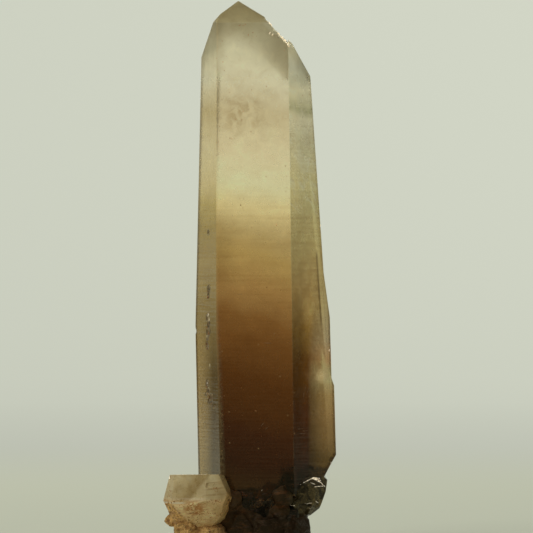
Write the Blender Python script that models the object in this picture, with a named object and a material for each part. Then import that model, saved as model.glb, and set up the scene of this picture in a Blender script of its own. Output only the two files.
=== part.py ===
"""Smoky quartz crystal, grown together with a small milky crystal and its own broken root.

A tall six-sided quartz point stands upright on a flat cut. Lengths in this file are millimetres about
the main crystal's axis: X to the right, Y away from the front face, Z up from the cut. The finished
mesh is in metres, with its origin under the middle of its box.
"""

import math
import random

import bmesh
import bpy
from mathutils import Vector

NAME = "quartz_crystal"
METRES_PER_MM = 0.001
WORKING_BLOCK = 400.0

# Driving dimensions of the main crystal, each side face by its reach from the axis and its lean
FRONT_TURN = -8.0
FACE_STEP = 60.0
FRONT_REACH, FRONT_LEAN = 9.5, 0.5
RIGHT_REACH, RIGHT_LEAN = 11.7, 1.0
RIGHT_BACK_REACH, RIGHT_BACK_LEAN = 14.2, 4.9
BACK_REACH, BACK_LEAN = 4.8, 0.8
LEFT_BACK_REACH, LEFT_BACK_LEAN = 11.6, 2.7
LEFT_REACH, LEFT_LEAN = 10.1, 0.2

# The two left faces bulge at mid height and draw in again towards the foot
LOWER_LEFT_REACH, LOWER_LEFT_LEAN = 9.1, -1.3
LOWER_LEFT_BACK_REACH, LOWER_LEFT_BACK_LEAN = 9.3, -0.6

# Each tip face, by its turn, its lean and the height where it would meet the axis
TIP_FRONT = (-8.0, 40.9, 103.6)
TIP_RIGHT = (118.3, 40.1, 91.4)
TIP_LEFT = (239.0, 37.5, 98.5)
SMALL_TIP_RIGHT = (52.0, 38.2, 102.7)
SMALL_TIP_LEFT = (292.0, 38.2, 106.2)
SMALL_TIP_BACK = (172.0, 38.2, 96.0)

# Tip-side strip that is broken away along the right tip face's front edge, down to this plane
BROKEN_STRIP = (108.0, 42.2, 92.6)
STRIP_DEPTH, STRIP_LEFT, STRIP_RIGHT = 3.8, -0.9, 6.4
STRIP_TOP = 99.7

# How far the right edge's growth layers stay short of the back face
LAYER_STEP = 0.05

# The side crystal's foremost corner
SIDE_FRONT = (-9.2, -15.0, 8.7)

# How low the main crystal reaches inside the root, and how the broken shapes are drawn
FOOT_DEPTH = 4.0
ROOT_SEED = 41
BREAK_SEED = 5
CHIP_SEED = 17
CHIP_CUTS = 9
TURN_JITTER, LEAN_JITTER = 18.0, 10.0
SHALLOWEST, DEEPEST = 1.04, 0.84


def facing(turn, lean=0.0):
    """Direction of a face that is turned from the front, anticlockwise from above, and tipped up."""
    turn, lean = math.radians(turn), math.radians(lean)
    level = math.cos(lean)
    return Vector((math.sin(turn) * level, -math.cos(turn) * level, math.sin(lean)))


def side_face(turn, reach, lean=0.0):
    """Plane of a prism face that stands a reach from the axis at the cut."""
    return facing(turn) * reach, facing(turn, lean)


def tip_face(turn, lean, height):
    """Plane of a tip face that would meet the axis at a height."""
    return Vector((0.0, 0.0, height)), facing(turn, lean)


def face_at(point, turn, lean=0.0):
    """Plane of a face that passes through a point."""
    return Vector(point), facing(turn, lean)


def level_cut(height):
    """Level plane that keeps what is above a height."""
    return face_at((0.0, 0.0, height), 0.0, -90.0)


def block(planes):
    """Convex solid left after a large block is cut back to every plane."""
    mesh = bmesh.new()
    bmesh.ops.create_cube(mesh, size=WORKING_BLOCK)
    for point, normal in planes:
        everything = mesh.verts[:] + mesh.edges[:] + mesh.faces[:]
        bmesh.ops.bisect_plane(mesh, geom=everything, plane_co=point, plane_no=normal, clear_outer=True)
        rim = [edge for edge in mesh.edges if edge.is_boundary]
        bmesh.ops.holes_fill(mesh, edges=rim)
    bmesh.ops.recalc_face_normals(mesh, faces=mesh.faces)
    return mesh


def chunk(centre, radii, seed, cuts=18):
    """Broken lump: a block cut by scattered planes that all touch one ellipsoid."""
    rng = random.Random(seed)
    centre = Vector(centre)
    golden_turn = 180.0 * (3.0 - math.sqrt(5.0))
    planes = []
    for index in range(cuts):
        height = 1.0 - 2.0 * (index + 0.5) / cuts
        turn = index * golden_turn + rng.uniform(-TURN_JITTER, TURN_JITTER)
        lean = math.degrees(math.asin(height)) + rng.uniform(-LEAN_JITTER, LEAN_JITTER)
        normal = facing(turn, lean)
        reach = Vector(radius * part for radius, part in zip(radii, normal)).length
        planes.append((centre + normal * reach * rng.uniform(DEEPEST, SHALLOWEST), normal))
    return block(planes)


def prism_planes():
    """The six side faces of the main crystal, anticlockwise from the front."""
    sides = (
        (FRONT_REACH, FRONT_LEAN),
        (RIGHT_REACH, RIGHT_LEAN),
        (RIGHT_BACK_REACH, RIGHT_BACK_LEAN),
        (BACK_REACH, BACK_LEAN),
        (LEFT_BACK_REACH, LEFT_BACK_LEAN),
        (LEFT_REACH, LEFT_LEAN),
    )
    return [
        side_face(FRONT_TURN + FACE_STEP * index, reach, lean)
        for index, (reach, lean) in enumerate(sides)
    ]


def broken_strip():
    """Solid that takes the right tip face's front edge away in a long shallow flake."""
    point, normal = tip_face(*BROKEN_STRIP)
    return block([
        (point, -normal),
        face_at((0.0, STRIP_DEPTH - FRONT_REACH, 90.0), 172.0, -8.0),
        face_at((STRIP_RIGHT, 0.0, 90.0), 84.0, 12.0),
        face_at((STRIP_LEFT, 0.0, 94.0), 286.0),
        face_at((0.0, -14.0, 0.0), 0.0),
        face_at((0.0, 0.0, STRIP_TOP), 0.0, 90.0),
    ])


def breakages():
    """Solids that break the crystal's foot off where the root takes over."""
    corner = block([
        face_at((13.45, 0.0, 15.6), 277.0, 32.0),
        face_at((11.8, 0.0, 12.4), 262.0, 28.0),
        face_at((22.0, 0.0, 0.0), 97.0),
        face_at((0.0, 0.0, 22.0), 0.0, 90.0),
    ])
    back_corner = block([
        face_at((8.4, 3.7, 13.0), 322.0, 28.0),
        face_at((20.0, 20.0, 0.0), 142.0),
        face_at((0.0, 0.0, 20.0), 0.0, 90.0),
        face_at((0.0, -0.5, 0.0), 0.0),
    ])
    bites = (
        ((-0.8, -10.9, 5.6), (3.6, 2.0, 3.8)),
        ((4.2, -11.0, 6.4), (3.8, 2.2, 4.4)),
        ((9.6, -8.6, 8.4), (3.2, 2.4, 3.8)),
    )
    front = [chunk(centre, radii, BREAK_SEED + index) for index, (centre, radii) in enumerate(bites)]
    return [corner, back_corner] + front


def main_crystal():
    """The tall point."""
    tips = (TIP_FRONT, TIP_RIGHT, TIP_LEFT, SMALL_TIP_RIGHT, SMALL_TIP_LEFT, SMALL_TIP_BACK)
    drawn_in = [
        side_face(FRONT_TURN - FACE_STEP, LOWER_LEFT_REACH, LOWER_LEFT_LEAN),
        side_face(FRONT_TURN - 2 * FACE_STEP, LOWER_LEFT_BACK_REACH, LOWER_LEFT_BACK_LEAN),
    ]
    return block(prism_planes() + drawn_in + [tip_face(*tip) for tip in tips] + [level_cut(FOOT_DEPTH)])


def right_layers():
    """Two growth layers that widen the crystal's right edge downwards in steps."""
    right_back_turn = FRONT_TURN + 2 * FACE_STEP
    back_limit = side_face(FRONT_TURN + 3 * FACE_STEP, BACK_REACH - LAYER_STEP, BACK_LEAN)
    inner_limit = face_at((6.0, 0.0, 30.0), right_back_turn + 180.0)
    upper = block([
        face_at((10.5, -4.1, 52.7), 44.0),
        side_face(right_back_turn, 12.8, 2.1),
        face_at((11.9, -2.4, 47.5), 108.0, 10.0),
        back_limit,
        inner_limit,
        level_cut(FOOT_DEPTH + 0.5),
    ])
    lower = block([
        face_at((12.0, -2.9, 33.0), 41.0),
        side_face(right_back_turn, 13.15, 2.0),
        face_at((13.1, -1.6, 30.2), 104.0, 22.0),
        back_limit,
        inner_limit,
        level_cut(FOOT_DEPTH + 1.0),
    ])
    return [upper, lower]


def side_crystal():
    """Small milky crystal at the left front: upright faces above, broad faces turned down below."""
    return block([
        face_at(SIDE_FRONT, -15.0, 7.0),
        face_at(SIDE_FRONT, 15.0, 6.0),
        face_at(SIDE_FRONT, -2.0, -36.0),
        face_at((-15.2, -13.4, 9.0), -58.0, 8.0),
        face_at((-15.2, -13.4, 8.2), -48.0, -30.0),
        face_at((-11.0, -8.0, 12.9), 180.0, 86.0),
        face_at((-6.3, -10.0, 13.1), 82.0, 24.0),
        face_at((-4.9, -10.5, 8.0), 72.0, -18.0),
        face_at((-6.0, -10.5, 5.2), 62.0, -50.0),
        face_at((-15.6, -6.0, 12.6), 268.0, 14.5),
        face_at((-16.75, -8.0, 8.2), 272.0, -26.0),
        face_at((-10.0, -1.0, 9.0), 180.0),
        face_at((-10.0, -12.0, 3.4), 0.0, -75.0),
    ])


def glassy_lump():
    """Clear broken lump at the right front of the foot, domed above and drawn in below."""
    return block([
        face_at((8.9, -8.9, 9.0), 0.0, 4.0),
        face_at((6.3, -8.0, 9.0), -50.0, 10.0),
        face_at((5.3, -6.0, 9.0), -85.0),
        face_at((6.6, -7.4, 11.8), -35.0, 45.0),
        face_at((9.2, -7.0, 12.6), 8.0, 48.0),
        face_at((9.5, -5.0, 13.0), 20.0, 80.0),
        face_at((11.8, -6.0, 12.6), 88.0, 46.0),
        face_at((12.38, -6.0, 12.1), 94.0, -9.0),
        face_at((11.4, -7.6, 10.0), 45.0, 3.0),
        face_at((11.5, -6.0, 8.5), 93.0, -21.0),
        face_at((10.95, -6.0, 7.0), 93.0, -52.0),
        face_at((10.2, -7.6, 6.8), 44.0, -42.0),
        face_at((8.4, -8.0, 6.4), -10.0, -45.0),
        face_at((9.0, -5.0, 5.4), 0.0, -80.0),
        face_at((9.0, 1.0, 9.0), 180.0),
    ])


def root_chunks():
    """Broken lumps of dark quartz and rusty crust that the crystals grow out of."""
    lumps = (
        ((0.4, -2.4, 5.4), (9.8, 7.6, 9.0), 40),
        ((3.4, -5.0, 4.0), (5.8, 4.8, 7.4), 28),
        ((-4.0, -5.6, 3.4), (7.0, 5.0, 6.8), 28),
        ((7.2, 0.2, 10.4), (3.4, 3.8, 3.5), 18),
        ((2.6, 2.2, 4.6), (6.2, 4.6, 8.0), 30),
        ((-6.0, 1.6, 5.0), (5.8, 4.8, 8.6), 30),
        ((-9.0, -3.4, 3.2), (4.9, 6.0, 6.0), 24),
        ((-9.0, -8.8, 1.8), (4.6, 3.8, 3.0), 20),
        ((-13.9, -7.2, 5.0), (2.65, 3.4, 1.5), 16),
        ((-12.4, -10.0, 3.6), (2.3, 2.2, 1.8), 14),
        ((-3.8, -8.8, 3.2), (3.2, 2.4, 3.8), 20),
        ((1.2, -8.2, 2.6), (4.4, 2.4, 3.6), 22),
        ((-4.6, -9.2, 8.4), (1.6, 1.8, 1.7), 14),
        ((5.6, -7.4, 6.6), (3.2, 1.9, 2.6), 18),
    )
    return [
        chunk(centre, radii, ROOT_SEED + index, cuts)
        for index, (centre, radii, cuts) in enumerate(lumps)
    ]


def chips():
    """Small conchoidal bites out of the edges."""
    bites = (
        ((12.3, -3.4, 57.3), (0.9, 1.3, 1.2)),
        ((3.3, -9.9, 92.9), (0.9, 0.9, 0.7)),
        ((-11.7, 1.6, 38.6), (0.7, 1.2, 0.9)),
        ((13.8, -1.4, 35.2), (0.6, 0.9, 0.7)),
    )
    return [
        chunk(centre, radii, CHIP_SEED + index, CHIP_CUTS)
        for index, (centre, radii) in enumerate(bites)
    ]


def helper(mesh, name):
    """Unseen object that lends its shape to the Boolean modifiers."""
    data = bpy.data.meshes.new(name)
    mesh.to_mesh(data)
    mesh.free()
    thing = bpy.data.objects.new(name, data)
    bpy.context.scene.collection.objects.link(thing)
    thing.hide_render = True
    thing.display_type = "WIRE"
    return thing


def shaped(body, steps):
    """The body after each step adds or takes away a solid, as one mesh."""
    start = helper(body, "body")
    tools = []
    for index, (operation, mesh) in enumerate(steps):
        tool = helper(mesh, f"tool_{index}")
        modifier = start.modifiers.new(tool.name, "BOOLEAN")
        modifier.operation = operation
        modifier.solver = "EXACT"
        modifier.object = tool
        tools.append(tool)
    graph = bpy.context.evaluated_depsgraph_get()
    result = bpy.data.meshes.new_from_object(start.evaluated_get(graph))
    for thing in tools + [start]:
        bpy.data.objects.remove(thing)
    return result


def tidy(data):
    """Merges stray points, makes triangles and sets the origin under the middle, in metres."""
    mesh = bmesh.new()
    mesh.from_mesh(data)
    bmesh.ops.remove_doubles(mesh, verts=mesh.verts, dist=0.02)
    bmesh.ops.dissolve_limit(mesh, angle_limit=0.002, verts=mesh.verts, edges=mesh.edges)
    bmesh.ops.triangulate(mesh, faces=mesh.faces)
    low = [min(vertex.co[axis] for vertex in mesh.verts) for axis in range(3)]
    high = [max(vertex.co[axis] for vertex in mesh.verts) for axis in range(3)]
    middle = Vector(((low[0] + high[0]) / 2, (low[1] + high[1]) / 2, low[2]))
    bmesh.ops.translate(mesh, verts=mesh.verts, vec=-middle)
    bmesh.ops.scale(mesh, verts=mesh.verts, vec=(METRES_PER_MM,) * 3)
    bmesh.ops.recalc_face_normals(mesh, faces=mesh.faces)
    mesh.to_mesh(data)
    mesh.free()


def smoky_quartz():
    """Clear brown quartz."""
    material = bpy.data.materials.new("smoky_quartz")
    material.use_nodes = True
    shader = material.node_tree.nodes["Principled BSDF"]
    shader.inputs["Base Color"].default_value = (0.42, 0.30, 0.14, 1.0)
    shader.inputs["Roughness"].default_value = 0.12
    shader.inputs["Metallic"].default_value = 0.0
    shader.inputs["IOR"].default_value = 1.544
    shader.inputs["Transmission Weight"].default_value = 0.9
    return material


def main():
    for thing in list(bpy.data.objects):
        bpy.data.objects.remove(thing)
    below_ground = block([face_at((0.0, 0.0, 0.0), 0.0, 90.0)])
    steps = [("UNION", mesh) for mesh in right_layers()]
    steps += [("DIFFERENCE", mesh) for mesh in [broken_strip()] + breakages() + chips()]
    steps += [("UNION", mesh) for mesh in [side_crystal(), glassy_lump()] + root_chunks()]
    steps.append(("DIFFERENCE", below_ground))
    data = shaped(main_crystal(), steps)
    tidy(data)
    data.name = NAME
    data.materials.clear()
    data.materials.append(smoky_quartz())
    crystal = bpy.data.objects.new(NAME, data)
    bpy.context.scene.collection.objects.link(crystal)


main()
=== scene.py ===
"""Looks of a smoky quartz crystal: a tall clear brown point, a small milky one and their broken root.

Lengths are millimetres about the tall crystal's axis: X to the right, Y away from its front face, Z up
from the flat cut that it stands on. Finished meshes are in metres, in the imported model's frame.
"""

import math
import random

import bmesh
import bpy
from mathutils import Matrix, Vector, noise
from mathutils.bvhtree import BVHTree


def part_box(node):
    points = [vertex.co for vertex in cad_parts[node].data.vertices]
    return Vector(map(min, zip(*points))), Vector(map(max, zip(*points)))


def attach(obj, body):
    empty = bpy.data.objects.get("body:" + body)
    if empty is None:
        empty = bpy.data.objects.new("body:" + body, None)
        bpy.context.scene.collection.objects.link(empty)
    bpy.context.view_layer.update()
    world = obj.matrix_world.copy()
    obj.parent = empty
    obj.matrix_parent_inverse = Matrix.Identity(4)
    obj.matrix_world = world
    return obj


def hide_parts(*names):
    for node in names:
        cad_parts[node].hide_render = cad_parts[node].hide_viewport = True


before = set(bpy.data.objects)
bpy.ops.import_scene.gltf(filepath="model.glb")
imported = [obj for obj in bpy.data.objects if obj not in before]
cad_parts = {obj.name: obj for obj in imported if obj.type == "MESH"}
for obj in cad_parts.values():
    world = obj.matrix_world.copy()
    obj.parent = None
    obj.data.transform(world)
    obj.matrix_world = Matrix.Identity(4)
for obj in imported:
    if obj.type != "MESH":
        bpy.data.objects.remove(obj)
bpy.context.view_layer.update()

NODE = "quartz_crystal"
BODY = "root"
MM = 0.001
WORKING_BLOCK = 400.0

# The axis of the tall crystal, by how far the side crystal reaches to its left and in front of it
SIDE_REACH_LEFT, SIDE_REACH_FRONT = 16.841, 15.012
LOW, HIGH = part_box(NODE)
AXIS = Vector((LOW.x + SIDE_REACH_LEFT * MM, LOW.y + SIDE_REACH_FRONT * MM, LOW.z))

# Side faces of the tall crystal from the front on, each by its reach from the axis and its lean
FRONT_TURN, FACE_STEP = -8.0, 60.0
RIGHT_TURN = FRONT_TURN + FACE_STEP
RIGHT_BACK_TURN = FRONT_TURN + 2 * FACE_STEP
BACK_TURN = FRONT_TURN + 3 * FACE_STEP
LEFT_BACK_TURN = FRONT_TURN - 2 * FACE_STEP
LEFT_TURN = FRONT_TURN - FACE_STEP
SIDES = (
    (FRONT_TURN, 9.5, 0.5),
    (RIGHT_TURN, 11.7, 1.0),
    (RIGHT_BACK_TURN, 14.2, 4.9),
    (BACK_TURN, 4.8, 0.8),
    (LEFT_BACK_TURN, 11.6, 2.7),
    (LEFT_BACK_TURN, 9.3, -0.6),
    (LEFT_TURN, 10.1, 0.2),
    (LEFT_TURN, 9.1, -1.3),
)

# Tip faces, each by its turn, its lean and the height where it would meet the axis
TIPS = (
    (-8.0, 40.9, 103.6),
    (118.3, 40.1, 91.4),
    (239.0, 37.5, 98.5),
    (52.0, 38.2, 102.7),
    (292.0, 38.2, 106.2),
    (172.0, 38.2, 96.0),
)
FOOT_DEPTH = 4.0
WORN_EDGE = 0.06

# Strip that is broken away along the right tip face's front edge, down to this plane
BROKEN_STRIP = (108.0, 42.2, 92.6)
STRIP_DEPTH, STRIP_LEFT, STRIP_RIGHT = 3.8, -0.9, 6.4
STRIP_TOP = 99.7

# How far the right edge's growth layers stay short of the back face
LAYER_STEP = 0.05

# The side crystal's foremost corner
SIDE_FRONT = (-9.2, -15.0, 8.7)

# The broken strip's jagged rim, and how steeply a face must look to the front to count as nearest
RIM_START, RIM_END = Vector((1.5, 0.0, 94.6)), Vector((5.7, 0.0, 89.4))
RIM_NICKS, RIM_SPLINTERS, RIM_LEAN = 10, 60, -39.0
FACES_FRONT = 0.05

# How nearly a face looks a way to take that side's colours, and to count as grown, not broken
NEARLY_FACING, SAME_FACING = 0.87, 0.9997

# A rounded edge is told from a break by its length, and shows this share of a break's frost
LONG_EDGE, WORN_SHARE = 1.5, 0.02

# How the broken shapes are drawn
NICK_SEED, GRAIN_SEED, FLAKE_SEED = 8, 12, 3
ROCK_NET = 0.2
ROOT_SEED = 41
BREAK_SEED = 5
TURN_JITTER, LEAN_JITTER = 18.0, 10.0
SHALLOWEST, DEEPEST = 1.04, 0.84

# The photograph's frame: what the level camera looks at, how much it sees and from how far
VIEW_CENTRE = Vector((1.53, 0.0, 50.13))
VIEW_WIDTH = 95.94
CAMERA_DISTANCE = 850.0
SENSOR = 36.0


def facing(turn, lean=0.0):
    """Direction of a face that is turned from the front, anticlockwise from above, and tipped up."""
    turn, lean = math.radians(turn), math.radians(lean)
    level = math.cos(lean)
    return Vector((math.sin(turn) * level, -math.cos(turn) * level, math.sin(lean)))


def side_face(turn, reach, lean=0.0):
    """Plane of a side face that stands a reach from the axis at the cut."""
    return facing(turn) * reach, facing(turn, lean)


def tip_face(turn, lean, height):
    """Plane of a tip face that would meet the axis at a height."""
    return Vector((0.0, 0.0, height)), facing(turn, lean)


def face_at(point, turn, lean=0.0):
    """Plane of a face that passes through a point."""
    return Vector(point), facing(turn, lean)


def level_cut(height):
    """Level plane that keeps what is above a height."""
    return face_at((0.0, 0.0, height), 0.0, -90.0)


def block(planes, worn=0.0):
    """Convex solid left after a large block is cut back to every plane, with worn edges."""
    mesh = bmesh.new()
    bmesh.ops.create_cube(mesh, size=WORKING_BLOCK)
    for point, normal in planes:
        everything = mesh.verts[:] + mesh.edges[:] + mesh.faces[:]
        bmesh.ops.bisect_plane(mesh, geom=everything, plane_co=point, plane_no=normal, clear_outer=True)
        bmesh.ops.holes_fill(mesh, edges=[edge for edge in mesh.edges if edge.is_boundary])
    if worn:
        bmesh.ops.bevel(mesh, geom=mesh.edges[:], offset=worn, offset_type="OFFSET", segments=2,
                        profile=0.5, affect="EDGES", clamp_overlap=True, material=-1)
    bmesh.ops.recalc_face_normals(mesh, faces=mesh.faces)
    return mesh


def chunk(centre, radii, seed, cuts=18):
    """Broken lump: a block cut by scattered planes that all touch one ellipsoid."""
    rng = random.Random(seed)
    centre = Vector(centre)
    golden_turn = 180.0 * (3.0 - math.sqrt(5.0))
    planes = []
    for index in range(cuts):
        height = 1.0 - 2.0 * (index + 0.5) / cuts
        turn = index * golden_turn + rng.uniform(-TURN_JITTER, TURN_JITTER)
        lean = math.degrees(math.asin(height)) + rng.uniform(-LEAN_JITTER, LEAN_JITTER)
        normal = facing(turn, lean)
        reach = Vector(radius * part for radius, part in zip(radii, normal)).length
        planes.append((centre + normal * reach * rng.uniform(DEEPEST, SHALLOWEST), normal))
    return block(planes)


def bite(centre, radii, turn=0.0, lean=0.0, seed=0, ripple=0.05, fineness=4):
    """Shell-shaped bite: a ball with faint rings, stretched and turned."""
    mesh = bmesh.new()
    bmesh.ops.create_icosphere(mesh, subdivisions=fineness, radius=1.0)
    for vertex in mesh.verts:
        rings = math.sin(9.0 * vertex.co.length * (vertex.co - Vector((0.6, 0.2, 0.5))).length * 2.0)
        lumps = noise.noise(vertex.co * 1.8 + Vector((seed, 0.0, 0.0)))
        vertex.co *= 1.0 + ripple * rings * 0.35 + ripple * 2.0 * lumps
    place = Matrix.Translation(centre) @ Matrix.Rotation(math.radians(turn), 4, "Z")
    place = place @ Matrix.Rotation(math.radians(lean), 4, "X") @ Matrix.Diagonal((*radii, 1.0))
    bmesh.ops.transform(mesh, matrix=place, verts=mesh.verts)
    return mesh


def helper(mesh, name):
    """Unseen object that lends its shape to the Boolean modifiers."""
    data = bpy.data.meshes.new(name)
    mesh.to_mesh(data)
    mesh.free()
    thing = bpy.data.objects.new(name, data)
    bpy.context.scene.collection.objects.link(thing)
    return thing


def shaped(body, steps, voxel=0.0):
    """The body after each step adds or takes away a solid, then made an even net if a size is given."""
    start = helper(body, "body")
    tools = []
    for operation, solid in steps:
        tool = helper(solid, "tool")
        modifier = start.modifiers.new("step", "BOOLEAN")
        modifier.operation = operation
        modifier.solver = "EXACT"
        modifier.object = tool
        tools.append(tool)
    if voxel:
        modifier = start.modifiers.new("net", "REMESH")
        modifier.mode = "VOXEL"
        modifier.voxel_size = voxel
    graph = bpy.context.evaluated_depsgraph_get()
    result = bmesh.new()
    result.from_mesh(start.evaluated_get(graph).to_mesh())
    for thing in tools + [start]:
        bpy.data.objects.remove(thing)
    bmesh.ops.remove_doubles(result, verts=result.verts, dist=0.004)
    bmesh.ops.recalc_face_normals(result, faces=result.faces)
    return result


def piece(mesh, name, material, smooth=False):
    """Finished part of the crystal in the model's frame, in metres."""
    bmesh.ops.triangulate(mesh, faces=[face for face in mesh.faces if len(face.verts) > 4])
    bmesh.ops.scale(mesh, verts=mesh.verts, vec=(MM, MM, MM))
    bmesh.ops.translate(mesh, verts=mesh.verts, vec=AXIS)
    for face in mesh.faces:
        face.smooth = smooth
    data = bpy.data.meshes.new(name)
    mesh.to_mesh(data)
    mesh.free()
    data.materials.append(material)
    thing = bpy.data.objects.new(name, data)
    bpy.context.scene.collection.objects.link(thing)
    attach(thing, BODY)
    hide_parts(NODE)
    return thing


def right_layers():
    """Two growth layers that widen the tall crystal's right edge downwards in steps."""
    _, back_reach, back_lean = SIDES[3]
    back_limit = side_face(BACK_TURN, back_reach - LAYER_STEP, back_lean)
    inner_limit = face_at((6.0, 0.0, 30.0), RIGHT_BACK_TURN + 180.0)
    upper = block([
        face_at((10.5, -4.1, 52.7), 44.0),
        side_face(RIGHT_BACK_TURN, 12.8, 2.1),
        face_at((11.9, -2.4, 47.5), 108.0, 10.0),
        back_limit,
        inner_limit,
        level_cut(FOOT_DEPTH + 0.5),
    ])
    lower = block([
        face_at((12.0, -2.9, 33.0), 41.0),
        side_face(RIGHT_BACK_TURN, 13.15, 2.0),
        face_at((13.1, -1.6, 30.2), 104.0, 22.0),
        back_limit,
        inner_limit,
        level_cut(FOOT_DEPTH + 1.0),
    ])
    return [upper, lower]


def broken_strip():
    """Solid that takes the right tip face's front edge away in a long shallow flake."""
    point, normal = tip_face(*BROKEN_STRIP)
    return block([
        (point, -normal),
        face_at((0.0, STRIP_DEPTH - SIDES[0][1], 90.0), 172.0, -8.0),
        face_at((STRIP_RIGHT, 0.0, 90.0), 84.0, 12.0),
        face_at((STRIP_LEFT, 0.0, 94.0), 286.0),
        face_at((0.0, -14.0, 0.0), 0.0),
        face_at((0.0, 0.0, STRIP_TOP), 0.0, 90.0),
    ])


def breakages():
    """Solids that break the tall crystal's foot off where the root takes over."""
    corner = block([
        face_at((13.45, 0.0, 15.6), 277.0, 32.0),
        face_at((11.8, 0.0, 12.4), 262.0, 28.0),
        face_at((22.0, 0.0, 0.0), 97.0),
        face_at((0.0, 0.0, 22.0), 0.0, 90.0),
    ])
    back_corner = block([
        face_at((8.4, 3.7, 13.0), 322.0, 28.0),
        face_at((20.0, 20.0, 0.0), 142.0),
        face_at((0.0, 0.0, 20.0), 0.0, 90.0),
        face_at((0.0, -0.5, 0.0), 0.0),
    ])
    bites = (
        ((-0.8, -10.9, 5.6), (3.6, 2.0, 3.8)),
        ((4.2, -11.0, 6.4), (3.8, 2.2, 4.4)),
        ((9.6, -8.6, 8.4), (3.2, 2.4, 3.8)),
    )
    front = [chunk(centre, radii, BREAK_SEED + index) for index, (centre, radii) in enumerate(bites)]
    return [corner, back_corner] + front


def front_depth(planes, across, height):
    """How deep the nearest surface of a convex solid lies, straight in from the front."""
    line = Vector((across, 0.0, height))
    return max((point - line).dot(normal) / normal.y for point, normal in planes if normal.y < -FACES_FRONT)


def crystal_planes():
    """Every plane that bounds the tall crystal."""
    return [side_face(*side) for side in SIDES] + [tip_face(*tip) for tip in TIPS] + [level_cut(FOOT_DEPTH)]


def chips():
    """Small shell-shaped bites out of the edges, nicks along the broken strip and pits in the left face."""
    edge_chips = (
        ((12.4, -3.6, 57.3), (0.75, 1.1, 1.0)),
        ((3.3, -9.9, 92.9), (0.7, 0.8, 0.5)),
        ((-11.9, 1.6, 38.6), (0.6, 1.2, 0.9)),
        ((14.0, -1.5, 35.2), (0.5, 0.8, 0.6)),
    )
    pits = (
        (-8.9, 56.2, 0.42), (-8.8, 46.1, 0.62), (-8.9, 44.9, 0.42), (-9.0, 41.0, 0.66), (-8.85, 39.7, 0.58),
        (-8.9, 38.5, 0.70), (-9.1, 37.4, 0.46), (-9.1, 36.0, 0.56), (-8.6, 32.4, 0.30), (-9.1, 29.2, 0.56),
        (-8.9, 28.0, 0.52), (-8.4, 26.6, 0.66), (-8.8, 26.0, 0.44), (-9.3, 27.2, 0.36), (-7.9, 25.0, 0.32),
    )
    rng = random.Random(NICK_SEED)
    solids = [bite(centre, radii, 20.0 * index, 15.0, index) for index, (centre, radii) in enumerate(edge_chips)]
    planes = crystal_planes()
    for index, (across, height, size) in enumerate(pits):
        depth = front_depth(planes, across, height)
        radii = (size * 1.5, size * 0.4, size * 1.3)
        solids.append(bite((across, depth, height), radii, LEFT_TURN, 0.0, 30 + index, 0.16, 3))
    start, end = RIM_START, RIM_END
    for index in range(RIM_NICKS):
        at = start.lerp(end, (index + rng.uniform(0.2, 0.8)) / RIM_NICKS)
        size = rng.uniform(0.35, 0.7)
        depth = front_depth(planes, at.x, at.z)
        radii = (size, size * 0.9, size * 0.6)
        solids.append(bite((at.x, depth, at.z), radii, rng.uniform(0.0, 90.0), 30.0, 60 + index, 0.1, 3))
    return solids


def tall_crystal():
    steps = [("UNION", mesh) for mesh in right_layers()]
    steps += [("DIFFERENCE", mesh) for mesh in [broken_strip()] + breakages() + chips()]
    return shaped(block(crystal_planes(), WORN_EDGE), steps)


def side_crystal():
    """Small milky crystal at the left front: upright faces above, broad faces turned down below."""
    return block([
        face_at(SIDE_FRONT, -15.0, 7.0),
        face_at(SIDE_FRONT, 15.0, 6.0),
        face_at(SIDE_FRONT, -2.0, -36.0),
        face_at((-15.2, -13.4, 9.0), -58.0, 8.0),
        face_at((-15.2, -13.4, 8.2), -48.0, -30.0),
        face_at((-11.0, -8.0, 12.9), 180.0, 86.0),
        face_at((-6.3, -10.0, 13.1), 82.0, 24.0),
        face_at((-4.9, -10.5, 8.0), 72.0, -18.0),
        face_at((-6.0, -10.5, 5.2), 62.0, -50.0),
        face_at((-15.6, -6.0, 12.6), 268.0, 14.5),
        face_at((-16.75, -8.0, 8.2), 272.0, -26.0),
        face_at((-10.0, -1.0, 9.0), 180.0),
        face_at((-10.0, -12.0, 3.4), 0.0, -75.0),
    ], WORN_EDGE)


def milky_crystal():
    """The side crystal with nicked edges."""
    nicks = (
        ((-13.6, -14.2, 8.6), (0.5, 0.5, 0.4)), ((-11.2, -15.0, 8.4), (0.6, 0.4, 0.35)),
        ((-16.6, -9.8, 7.6), (0.6, 0.9, 0.5)), ((-6.2, -13.2, 6.2), (0.6, 0.6, 0.5)),
        ((-9.0, -14.6, 11.4), (0.25, 0.3, 0.5)), ((-8.0, -13.0, 4.4), (0.8, 0.6, 0.5)),
        ((-14.6, -12.6, 5.6), (0.7, 0.6, 0.6)), ((-12.4, -13.2, 4.6), (0.9, 0.6, 0.5)),
        ((-5.2, -11.6, 8.6), (0.4, 0.6, 0.6)), ((-15.9, -11.6, 12.7), (0.6, 0.8, 0.25)),
    )
    steps = [
        ("DIFFERENCE", bite(centre, radii, 35.0 * index, 20.0, 80 + index, 0.12, 3))
        for index, (centre, radii) in enumerate(nicks)
    ]
    return shaped(side_crystal(), steps)


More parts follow.
